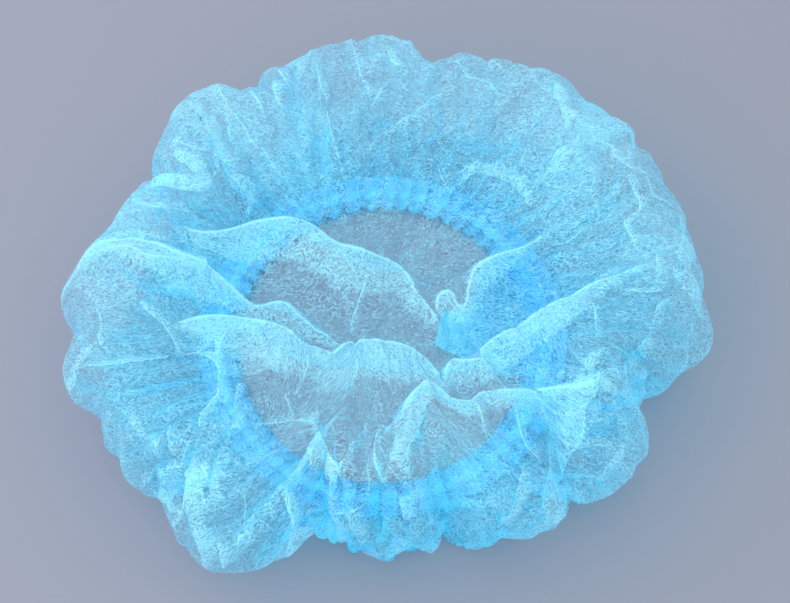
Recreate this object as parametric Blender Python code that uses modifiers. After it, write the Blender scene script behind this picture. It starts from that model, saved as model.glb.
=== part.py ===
"""A disposable bouffant hair cap of blue spunbond cloth, as it lies by itself on a flat surface.

The crown is up and the elastic opening is on the surface. The cloth puffs out all round, and its
middle sags in cross folds. Metres, Z up, the origin under the middle of the cap's box.
"""

import math

import bmesh
import bpy
import numpy as np

# Driving sizes of the cap as it lies
CAP_WIDTH = 0.278
CAP_DEPTH = 0.262
CAP_HEIGHT = 0.068
CLOTH_WALL = 0.0010

# The opening, measured along the middle of the elastic band
OPENING_WIDTH = 0.143
OPENING_DEPTH = 0.158
OPENING_SHIFT_X = -0.002
OPENING_SHIFT_Y = 0.002
ELASTIC_WIDTH = 0.005
ELASTIC_THICKNESS = 0.001
HEM_WIDTH = 0.018
HEM_SCALLOP = 0.003
SLOT_LEAD = 0.0015
PIECE_GAP = 0.0003

# Gathers, drawn up by the elastic
GATHER_COUNT = 24
GATHER_DRIFT = 0.5
GATHER_RISE = 0.007
PLEAT_DEPTH = 0.004

# How finely the soft forms are divided: the crown's middle is a grid of a quarter as many steps
STEPS_AROUND = 96
MIDDLE_STEPS = STEPS_AROUND // 4
LAP_STEPS = 6

# The cap seen from above: azimuth in degrees, reach as a share of the half width, and the height of
# the puffed rim's crest as a share of the cap's height
OUTLINE_COLUMNS = ("azimuth", "reach", "crest")
OUTLINE = (
    (0, 0.995, 0.93),
    (12, 0.98, 0.95),
    (24, 1.00, 0.97),
    (42, 1.01, 0.96),
    (54, 1.005, 0.98),
    (66, 0.97, 0.97),
    (78, 0.93, 0.95),
    (92, 0.995, 0.99),
    (104, 0.98, 0.99),
    (118, 0.935, 0.94),
    (132, 1.00, 0.98),
    (142, 0.95, 0.94),
    (152, 0.91, 0.90),
    (164, 0.95, 0.94),
    (180, 1.01, 0.97),
    (198, 1.015, 0.94),
    (210, 0.98, 0.90),
    (218, 0.995, 0.88),
    (226, 0.97, 0.84),
    (238, 1.05, 0.88),
    (247, 0.94, 0.88),
    (258, 0.83, 0.86),
    (268, 0.86, 0.88),
    (280, 0.83, 0.87),
    (297, 0.90, 0.88),
    (306, 0.87, 0.86),
    (322, 0.94, 0.89),
    (336, 0.88, 0.86),
    (346, 0.92, 0.88),
    (355, 1.00, 0.91),
)

# The sagging middle of the crown, from its centre outward: reach as a share of the outline's own
# reach there, and height as a share of the crest's height there
MIDDLE_COLUMNS = ("reach", "height")
MIDDLE = (
    (0.00, 0.44),
    (0.20, 0.46),
    (0.35, 0.51),
    (0.48, 0.60),
    (0.60, 0.75),
)

# The puffed rim from there outward and down, in the same shares
RIM_COLUMNS = ("reach", "height")
RIM = (
    (0.67, 0.85),
    (0.75, 0.95),
    (0.83, 1.00),
    (0.90, 0.98),
    (0.955, 0.88),
    (0.99, 0.70),
    (1.00, 0.48),
    (0.98, 0.26),
    (0.93, 0.10),
)
CREST_ROW = [row[1] for row in RIM].index(1.00)
WIDEST_HEIGHT = RIM[[row[0] for row in RIM].index(1.00)][1]

# The underside: the share of the way from the hem's outer edge to the outline, and how much of the
# gathers' rise shows there
UNDERSIDE_COLUMNS = ("way_out", "gather")
UNDERSIDE = (
    (0.74, 0.25),
    (0.50, 0.60),
    (0.26, 1.00),
    (0.09, 0.70),
)

# Cross folds over the sagging middle: their two ends and their bow as shares of the half width and
# half depth, their rise as a share of the cap's height, and how far each slope runs toward the front
# and the back, as shares of the cap's depth
FOLD_COLUMNS = ("start_x", "start_y", "end_x", "end_y", "bow", "rise", "front_run", "back_run")
FOLDS = {
    "left_shoulder": (-0.98, 0.02, -0.10, -0.12, 0.05, 0.26, 0.105, 0.052),
    "back_left": (-0.70, 0.12, 0.14, 0.08, 0.15, 0.30, 0.105, 0.052),
    "back_right": (0.02, -0.06, 0.48, 0.18, -0.04, 0.24, 0.095, 0.052),
    "middle_left": (-0.72, -0.18, 0.22, -0.29, 0.04, 0.34, 0.110, 0.052),
    "middle_right": (0.10, -0.35, 0.84, 0.00, 0.02, 0.28, 0.105, 0.052),
    "front_right": (-0.02, -0.46, 0.72, -0.47, 0.04, 0.24, 0.100, 0.055),
}

FOLD_TAPER = 0.34

# The overlapped end of the hem strip, laid in over the opening: steps from front to back as shares of
# the opening's half depth, and where its free edge runs as shares of the opening's half width. Past
# the hem it drops toward the surface, over a slope that is a share of the opening's half width
LAP_COLUMNS = ("back", "edge")
LAP = (
    (-0.26, 0.74),
    (-0.03, 0.32),
    (0.19, 0.365),
    (0.205, 0.53),
    (0.415, 0.58),
    (0.525, 0.65),
    (0.60, 0.72),
)
LAP_DROP = 0.003
LAP_HOLD = 0.003
LAP_SLOPE = 0.3

CLOTH_BLUE = (0.16, 0.55, 0.90, 1.0)
HEM_BLUE = (0.10, 0.47, 0.86, 1.0)
ELASTIC_WHITE = (0.72, 0.80, 0.86, 1.0)


def around(table, column, degrees):
    """Reads one column of a table of azimuths at any azimuths, as a smooth closed curve."""
    stops = np.array([row[0] for row in table], float)
    values = np.array([row[column] for row in table], float)
    count = len(stops)
    turn = np.mod(np.asarray(degrees, float), 360.0)
    here = np.searchsorted(stops, turn, side="right") - 1

    def stop(index):
        return stops[index % count] + 360.0 * np.floor_divide(index, count)

    def value(index):
        return values[index % count]

    turn = np.where(turn < stop(here), turn + 360.0, turn)
    span = stop(here + 1) - stop(here)
    share = (turn - stop(here)) / span
    leave = (value(here + 1) - value(here - 1)) / (stop(here + 1) - stop(here - 1)) * span
    arrive = (value(here + 2) - value(here)) / (stop(here + 2) - stop(here)) * span
    square = share * share
    cube = square * share
    return (
        (2 * cube - 3 * square + 1) * value(here)
        + (cube - 2 * square + share) * leave
        + (3 * square - 2 * cube) * value(here + 1)
        + (cube - square) * arrive
    )


DEGREES = np.arange(STEPS_AROUND) * 360.0 / STEPS_AROUND
ANGLES = np.radians(DEGREES)


def outline_points():
    """The outline around the cap's middle, as wide and as deep as the cap, and its box's middle."""
    reach = around(OUTLINE, OUTLINE_COLUMNS.index("reach"), DEGREES)
    plain_x = reach * np.cos(ANGLES)
    plain_y = reach * np.sin(ANGLES)
    points_x = plain_x * CAP_WIDTH / np.ptp(plain_x)
    points_y = plain_y * CAP_DEPTH / np.ptp(plain_y)
    middle_x = (points_x.max() + points_x.min()) / 2
    middle_y = (points_y.max() + points_y.min()) / 2
    return points_x - middle_x, points_y - middle_y, -middle_x, -middle_y


OUTLINE_X, OUTLINE_Y, MIDDLE_X, MIDDLE_Y = outline_points()
OPENING_X = MIDDLE_X + OPENING_SHIFT_X
OPENING_Y = MIDDLE_Y + OPENING_SHIFT_Y
CREST = around(OUTLINE, OUTLINE_COLUMNS.index("crest"), DEGREES) * CAP_HEIGHT

# The hem is a channel of two leaves, and the elastic and the cloth's edge share its slot
SLOT_HEIGHT = max(ELASTIC_THICKNESS, CLOTH_WALL) + 2 * PIECE_GAP
HEM_TOP = 2 * CLOTH_WALL + SLOT_HEIGHT
SLOT_FLOOR = CLOTH_WALL + PIECE_GAP


def opening_ring(grow):
    """The points of the opening's oval, grown outward by a length."""
    half_width = OPENING_WIDTH / 2 + grow
    half_depth = OPENING_DEPTH / 2 + grow
    return OPENING_X + half_width * np.cos(ANGLES), OPENING_Y + half_depth * np.sin(ANGLES)


def gather_wave():
    """One wave for each gather, from 0 in its valley to 1 on its crest."""
    drift = GATHER_DRIFT * np.sin(3 * ANGLES)
    return 0.5 - 0.5 * np.cos(GATHER_COUNT * ANGLES + drift)


def fold_height(points_x, points_y):
    """How far the cross folds lift the crown at each point."""
    half_width = CAP_WIDTH / 2
    half_depth = CAP_DEPTH / 2
    lift = np.zeros_like(points_x)
    for row in FOLDS.values():
        fold = dict(zip(FOLD_COLUMNS, row))
        start = np.array([fold["start_x"] * half_width, fold["start_y"] * half_depth])
        end = np.array([fold["end_x"] * half_width, fold["end_y"] * half_depth])
        length = np.hypot(*(end - start))
        along = (end - start) / length
        from_x = points_x - MIDDLE_X - start[0]
        from_y = points_y - MIDDLE_Y - start[1]
        share = (from_x * along[0] + from_y * along[1]) / length
        bow = fold["bow"] * half_depth * 4 * share * (1 - share)
        back = from_y * along[0] - from_x * along[1] - bow
        run = np.where(back > 0, fold["back_run"], fold["front_run"]) * CAP_DEPTH
        ends = np.clip(share / FOLD_TAPER, 0, 1) * np.clip((1 - share) / FOLD_TAPER, 0, 1)
        ridge = fold["rise"] * CAP_HEIGHT * np.exp(-((back / run) ** 2)) * np.sin(ends * math.pi / 2)
        lift = np.maximum(lift, ridge)
    return lift


def crown_height(reach, crest, points_x, points_y):
    """The height of the crown's sagging middle, with its cross folds, under the crest's height."""
    stops = [row[0] for row in MIDDLE] + [row[0] for row in RIM[: CREST_ROW + 1]]
    shares = [row[1] for row in MIDDLE] + [row[1] for row in RIM[: CREST_ROW + 1]]
    even = np.mean(CREST)
    local_crest = even + (crest - even) * np.minimum(reach / MIDDLE[-1][0], 1)
    height = np.interp(reach, stops, shares) * local_crest
    room = CAP_HEIGHT - height
    return height + room * np.tanh(fold_height(points_x, points_y) / room)


def middle_grid():
    """The crown's middle as a square grid drawn out to a disc, whose edge meets the rim's rows."""
    side = np.linspace(-1, 1, MIDDLE_STEPS + 1)
    across, back = np.meshgrid(side, side)
    reach = np.maximum(np.abs(across), np.abs(back))
    wide = np.abs(across) >= np.abs(back)
    turn_wide = np.where(across < 0, 180, 0) + 45 * back / np.where(wide & (across != 0), across, 1)
    turn_back = np.where(back < 0, 270, 90) - 45 * across / np.where(wide | (back == 0), 1, back)
    degrees = np.where(wide, turn_wide, turn_back) % 360
    nearest = np.interp(degrees, np.append(DEGREES, 360), np.append(OUTLINE_X, OUTLINE_X[0]))
    points_x = MIDDLE_X + (nearest - MIDDLE_X) * reach * MIDDLE[-1][0]
    nearest = np.interp(degrees, np.append(DEGREES, 360), np.append(OUTLINE_Y, OUTLINE_Y[0]))
    points_y = MIDDLE_Y + (nearest - MIDDLE_Y) * reach * MIDDLE[-1][0]
    crest = np.interp(degrees, np.append(DEGREES, 360), np.append(CREST, CREST[0]))
    height = crown_height(reach * MIDDLE[-1][0], crest, points_x, points_y)
    return np.stack([points_x, points_y, height], 2)


def rim_and_underside_rows():
    """The cloth's outer face outside the middle, as closed rows of points down to the hem's slot."""
    rows = []
    wave = gather_wave()
    outline_reach = np.hypot(OUTLINE_X - MIDDLE_X, OUTLINE_Y - MIDDLE_Y)
    for row in RIM:
        rim = dict(zip(RIM_COLUMNS, row))
        past_widest = max(0, 1 - rim["height"] / WIDEST_HEIGHT)
        scale = rim["reach"] - PLEAT_DEPTH * past_widest * wave / outline_reach
        points_x = MIDDLE_X + (OUTLINE_X - MIDDLE_X) * scale
        points_y = MIDDLE_Y + (OUTLINE_Y - MIDDLE_Y) * scale
        height = rim["height"] * CREST
        if rim["reach"] < RIM[CREST_ROW][0]:
            height = crown_height(rim["reach"], CREST, points_x, points_y)
        rows.append(np.stack([points_x, points_y, height], 1))
    mouth_x, mouth_y = opening_ring(HEM_WIDTH / 2)
    for row in UNDERSIDE:
        under = dict(zip(UNDERSIDE_COLUMNS, row))
        points_x = mouth_x + (OUTLINE_X - mouth_x) * under["way_out"]
        points_y = mouth_y + (OUTLINE_Y - mouth_y) * under["way_out"]
        rest = SLOT_FLOOR * (1 - under["way_out"])
        rows.append(np.stack([points_x, points_y, rest + GATHER_RISE * under["gather"] * wave], 1))
    end = ELASTIC_WIDTH / 2 + PIECE_GAP
    for grow in (HEM_WIDTH / 2 + SLOT_LEAD, HEM_WIDTH / 2 - SLOT_LEAD, end):
        points_x, points_y = opening_ring(grow)
        rows.append(np.stack([points_x, points_y, np.full(STEPS_AROUND, SLOT_FLOOR)], 1))
    return rows


def material(name, colour, roughness):
    """A plain finish with the piece's colour."""
    finish = bpy.data.materials.new(name)
    finish.use_nodes = True
    shader = finish.node_tree.nodes["Principled BSDF"]
    shader.inputs["Base Color"].default_value = colour
    shader.inputs["Roughness"].default_value = roughness
    shader.inputs["Metallic"].default_value = 0.0
    return finish


def add_object(name, shape, finish):
    """Puts a finished bmesh in the cap's collection as one object."""
    mesh = bpy.data.meshes.new(name)
    shape.to_mesh(mesh)
    shape.free()
    mesh.materials.append(finish)
    mesh.shade_smooth()
    piece = bpy.data.objects.new(name, mesh)
    CAP_COLLECTION.objects.link(piece)
    return piece


def loft(rows, closed_across):
    """Skins rows of points that each run once around, and joins the last row to the first if asked."""
    shape = bmesh.new()
    rings = [[shape.verts.new(point) for point in row] for row in rows]
    pairs = list(zip(rings, rings[1:]))
    if closed_across:
        pairs.append((rings[-1], rings[0]))
    for inner, outer in pairs:
        for here in range(len(inner)):
            there = (here + 1) % len(inner)
            shape.faces.new((inner[here], outer[here], outer[there], inner[there]))
    return shape, rings


def build_cloth():
    """The cap's one piece of cloth: crown, puffed rim and gathered underside."""
    shape, rings = loft(rim_and_underside_rows(), closed_across=False)
    points = middle_grid()
    grid = [[shape.verts.new(point) for point in line] for line in points]
    for front, back in zip(grid, grid[1:]):
        for here in range(MIDDLE_STEPS):
            shape.faces.new((front[here], front[here + 1], back[here + 1], back[here]))
    right = [line[-1] for line in grid]
    left = [line[0] for line in grid]
    loop = right[:-1] + grid[-1][:0:-1] + left[:0:-1] + grid[0][:-1]
    eighth = STEPS_AROUND // 8
    loop = loop[eighth:] + loop[:eighth]
    for here in range(STEPS_AROUND):
        there = (here + 1) % STEPS_AROUND
        shape.faces.new((loop[here], rings[0][here], rings[0][there], loop[there]))
    finish = material("spunbond_cloth", CLOTH_BLUE, 0.85)
    cloth = add_object("cap_cloth", shape, finish)
    wall = cloth.modifiers.new("wall", "SOLIDIFY")
    wall.thickness = CLOTH_WALL
    wall.offset = -1.0
    return cloth


def build_hem():
    """The turned over edge: two leaves joined at the scalloped inner edge, open to the outside."""
    scallop = HEM_SCALLOP * np.abs(np.sin(GATHER_COUNT / 2 * ANGLES))
    outer = HEM_WIDTH / 2
    inner = scallop - HEM_WIDTH / 2
    pocket = inner + CLOTH_WALL
    section = (
        (outer, 0.0),
        (inner, 0.0),
        (inner, HEM_TOP),
        (outer, HEM_TOP),
        (outer, HEM_TOP - CLOTH_WALL),
        (pocket, HEM_TOP - CLOTH_WALL),
        (pocket, CLOTH_WALL),
        (outer, CLOTH_WALL),
    )
    rows = []
    for grow, height in section:
        points_x, points_y = opening_ring(grow)
        rows.append(np.stack([points_x, points_y, np.full(STEPS_AROUND, height)], 1))
    shape, _ = loft(rows, closed_across=True)
    bmesh.ops.recalc_face_normals(shape, faces=shape.faces)
    return add_object("hem_casing", shape, material("hem_cloth", HEM_BLUE, 0.85))


def build_elastic():
    """The flat elastic band inside the hem."""
    half = ELASTIC_WIDTH / 2
    floor = SLOT_FLOOR
    section = (
        (half, floor),
        (-half, floor),
        (-half, floor + ELASTIC_THICKNESS),
        (half, floor + ELASTIC_THICKNESS),
    )
    rows = []
    for grow, height in section:
        points_x, points_y = opening_ring(grow)
        rows.append(np.stack([points_x, points_y, np.full(STEPS_AROUND, height)], 1))
    shape, _ = loft(rows, closed_across=True)
    bmesh.ops.recalc_face_normals(shape, faces=shape.faces)
    return add_object("elastic_band", shape, material("elastic", ELASTIC_WHITE, 0.6))


def build_lap():
    """The overlapped end of the hem strip, which lies in over the right of the opening."""
    half_width = OPENING_WIDTH / 2
    half_depth = OPENING_DEPTH / 2
    high = HEM_TOP + PIECE_GAP
    slope_start = 1 - (HEM_WIDTH / 2 + LAP_HOLD) / min(half_width, half_depth)
    shape = bmesh.new()
    grid = []
    for row in LAP:
        lap = dict(zip(LAP_COLUMNS, row))
        held = math.sqrt(1 - lap["back"] ** 2) + LAP_HOLD / half_width
        line = []
        for step in range(LAP_STEPS + 1):
            share_x = lap["edge"] + (held - lap["edge"]) * step / LAP_STEPS
            inside = math.hypot(share_x, lap["back"])
            drop = min(max((slope_start - inside) / LAP_SLOPE, 0), 1)
            place_x = OPENING_X + share_x * half_width
            place_y = OPENING_Y + lap["back"] * half_depth
            line.append(shape.verts.new((place_x, place_y, high - LAP_DROP * drop)))
        grid.append(line)
    for front, back in zip(grid, grid[1:]):
        for step in range(LAP_STEPS):
            shape.faces.new((front[step], back[step], back[step + 1], front[step + 1]))
    bmesh.ops.recalc_face_normals(shape, faces=shape.faces)
    lap_piece = add_object("hem_lap", shape, material("lap_cloth", HEM_BLUE, 0.85))
    wall = lap_piece.modifiers.new("wall", "SOLIDIFY")
    wall.thickness = CLOTH_WALL
    wall.offset = 1.0
    return lap_piece


for leftover in list(bpy.data.objects):
    bpy.data.objects.remove(leftover, do_unlink=True)

CAP_COLLECTION = bpy.data.collections.new("bouffant_cap")
bpy.context.scene.collection.children.link(CAP_COLLECTION)

build_cloth()
build_hem()
build_elastic()
build_lap()
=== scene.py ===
"""The looks of a disposable bouffant cap of thin blue spunbond cloth, lying crown up on a table.

The sections follow the cap as it is put together: the cloth disc, the hem that is turned over its
edge, the elastic inside the hem, and the loose overlapped end of the hem. The table, the light and
the camera come last. Metres, Z up.
"""

import math

import bpy
import numpy as np
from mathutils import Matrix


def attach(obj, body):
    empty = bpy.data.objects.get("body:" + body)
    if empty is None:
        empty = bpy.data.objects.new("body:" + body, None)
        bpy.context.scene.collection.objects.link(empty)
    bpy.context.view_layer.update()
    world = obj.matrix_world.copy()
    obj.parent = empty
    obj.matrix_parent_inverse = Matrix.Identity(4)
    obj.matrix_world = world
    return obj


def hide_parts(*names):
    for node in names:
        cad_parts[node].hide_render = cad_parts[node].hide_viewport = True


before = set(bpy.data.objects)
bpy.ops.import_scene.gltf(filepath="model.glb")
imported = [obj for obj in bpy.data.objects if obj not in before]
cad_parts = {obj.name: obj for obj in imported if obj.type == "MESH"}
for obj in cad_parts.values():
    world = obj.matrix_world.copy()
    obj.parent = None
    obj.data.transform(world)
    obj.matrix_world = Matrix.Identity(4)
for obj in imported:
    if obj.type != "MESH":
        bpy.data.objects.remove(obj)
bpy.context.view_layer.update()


# The cap's cloth
# One disc of thin spunbond polypropylene, cut 530 mm across. Its edge is gathered onto an elastic, so
# that the disc puffs up into a rim all round and its middle sags between the cross folds.

CAP_WIDTH = 0.2795
CAP_HEIGHT = 0.068
FLAT_ACROSS = 0.530
GRID = 304
TURNS = 720

# Where the crown's middle lies, and the lowest that the cloth may lie over the table
MIDDLE_X = -0.0023
MIDDLE_Y = -0.0005
CLOTH_LOWEST = 0.0008

# The camera's view: its tilt, how far off it is, the height and the pixel at the view's own middle, and
# the size of a pixel there, by the cap's width of 650 pixels
VIEW_DOWN = math.radians(57)
VIEW_AWAY = 1.10
VIEW_HEIGHT = 0.030
VIEW_PIXEL = (387, 310)
PIXEL_SIZE = CAP_WIDTH / 650

# The cap's edge as the camera sees it, clockwise from the far side: places in the picture, in pixels across
# and down, read off at each bump and dent
EDGE_SEEN = (
    (375, 38), (400, 40), (415, 47), (430, 55), (445, 59), (470, 55), (500, 64), (540, 69), (553, 75),
    (575, 90), (598, 106), (615, 117), (630, 130), (645, 152), (660, 168), (672, 190), (683, 207),
    (690, 245), (697, 265), (703, 290), (711, 320), (713, 329), (701, 346), (691, 364), (683, 374),
    (668, 382), (658, 396), (650, 405), (645, 425), (644, 440), (648, 451), (635, 469), (627, 480),
    (609, 492), (585, 504), (561, 493), (560, 502), (553, 515), (545, 532), (518, 540), (469, 545),
    (458, 541), (441, 546), (415, 550), (398, 559), (370, 552), (357, 552), (332, 544), (311, 537),
    (288, 559), (268, 566), (252, 568), (227, 570), (204, 572), (184, 548), (174, 525), (167, 514),
    (156, 495), (143, 492), (121, 474), (121, 460), (100, 438), (87, 412), (71, 390), (66, 379),
    (68, 346), (68, 323), (63, 305), (63, 293), (68, 283), (78, 276), (82, 263), (94, 237), (107, 217),
    (130, 194), (145, 188), (144, 174), (153, 156), (158, 139), (168, 122), (184, 100), (204, 92),
    (217, 91), (235, 83), (246, 88), (260, 74), (276, 69), (304, 54), (332, 46), (357, 40),
)

# The height of the puffed rim's crest round the cap: azimuth in degrees, share of the cap's height
CREST_HEIGHTS = (
    (0, 0.94), (22, 0.98), (42, 0.95), (60, 0.97), (77, 0.93), (90, 1.00), (120, 0.93), (138, 0.99),
    (155, 0.88), (180, 1.00), (194, 0.98), (205, 0.91), (220, 0.84), (235, 0.89), (251, 0.75), (270, 0.90),
    (297, 0.87), (312, 0.82), (324, 0.91), (340, 0.81), (352, 0.92),
)

# The crown and the puffed rim from the middle outward and down: reach as a share of the outline's own
# reach there, height as a share of the crest's height there
CROWN = np.array(
    (
        (0.00, 0.44), (0.10, 0.445), (0.20, 0.46), (0.35, 0.51), (0.48, 0.60), (0.60, 0.75),
        (0.67, 0.85), (0.75, 0.95), (0.83, 1.00), (0.90, 0.98), (0.955, 0.88), (0.99, 0.70),
        (1.00, 0.48), (0.98, 0.26), (0.93, 0.10),
    )
)

# The underside from the rim in to the hem: share of the way from the hem's outer edge to the outline,
# and height in metres
UNDERSIDE = np.array(
    (
        (0.74, 0.0025), (0.50, 0.0030), (0.26, 0.0030), (0.10, 0.0028), (0.00, 0.0025),
    )
)

OPENING_WIDTH = 0.143
OPENING_DEPTH = 0.158
OPENING_SHIFT = (-0.002, 0.002)
HEM_WIDTH = 0.018
HEM_HEIGHT = 0.0026
EDGE_IN_HEM = 0.0030
GATHERS = 56

# Cross folds of the sagging crown. Each is a line of points from its left end to its right end: x and
# y from the cap's middle in metres, and the rise there as a share of the cap's height. The slopes are how
# far a fold runs out and leans over, the full rise is the one that leans so far, and the doubled strip is
# how wide the cloth lies double along its top
FOLD_SLOPE = {"front": 0.020, "back": 0.0040, "lean": 0.012}
FOLD_FULL = 0.3
FOLD_DOUBLED = 0.010
FOLDS = {
    "left shoulder": (
        (-0.137, -0.006, 0.02), (-0.122, 0.008, 0.12), (-0.104, 0.010, 0.20), (-0.086, 0.004, 0.24),
        (-0.068, -0.001, 0.20), (-0.056, -0.008, 0.17), (-0.044, -0.004, 0.19), (-0.030, -0.014, 0.12),
        (-0.012, -0.020, 0.02),
    ),
    "back left": (
        (-0.086, 0.017, 0.06), (-0.070, 0.022, 0.20), (-0.055, 0.031, 0.28), (-0.036, 0.034, 0.33),
        (-0.020, 0.024, 0.32), (-0.008, 0.020, 0.28), (0.006, 0.015, 0.20), (0.014, 0.003, 0.16),
        (0.021, -0.007, 0.12),
    ),
    "back right": (
        (0.020, -0.008, 0.06), (0.022, 0.002, 0.16), (0.027, 0.004, 0.18), (0.033, -0.005, 0.12),
        (0.036, 0.012, 0.20), (0.044, 0.018, 0.18), (0.056, 0.022, 0.10), (0.070, 0.028, 0.02),
    ),
    "middle left": (
        (-0.086, -0.026, 0.08), (-0.070, -0.020, 0.22), (-0.050, -0.020, 0.30), (-0.036, -0.025, 0.34),
        (-0.024, -0.032, 0.26), (-0.016, -0.026, 0.30), (0.000, -0.028, 0.30), (0.014, -0.033, 0.22),
        (0.024, -0.047, 0.10),
    ),
    "middle right": (
        (0.022, -0.048, 0.06), (0.028, -0.034, 0.20), (0.038, -0.036, 0.22), (0.042, -0.029, 0.24),
        (0.056, -0.022, 0.24), (0.069, -0.016, 0.22), (0.091, -0.005, 0.14), (0.110, 0.000, 0.03),
    ),
    "front right": (
        (0.004, -0.072, 0.04), (0.011, -0.058, 0.16), (0.018, -0.052, 0.20), (0.026, -0.060, 0.14),
        (0.034, -0.064, 0.18), (0.040, -0.058, 0.18), (0.055, -0.060, 0.18), (0.072, -0.060, 0.14),
        (0.092, -0.062, 0.06),
    ),
}

# Lighter creases. The run is how wide a crease is, the peak the share of its height that it rises, the
# ends the share over which it runs out, and the mark how near the cloth looks creased
CREASE_RUN = 0.0060
CREASE_PEAK = 0.75
CREASE_ENDS = 0.25
CREASE_MARK = 0.0030
SIDE_LIMIT = 0.0040

# How the cloth laps over at a crease: where it turns, how far and wide it is pushed, the step between its
# layers, how wide it lies double, and the overlap and height that count in full
CREASE_TURN = 0.0020
LAP_PEAK = 1.1
LAP_RUN = 0.008
LAYER_STEP = 0.0004
LAYER_RUN = 0.004
STRIP_WIDTH = 3.5
STRIP_EDGE = 0.0010
FULL_OVERLAP = 0.0015
FULL_HEIGHT = 0.0035
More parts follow.
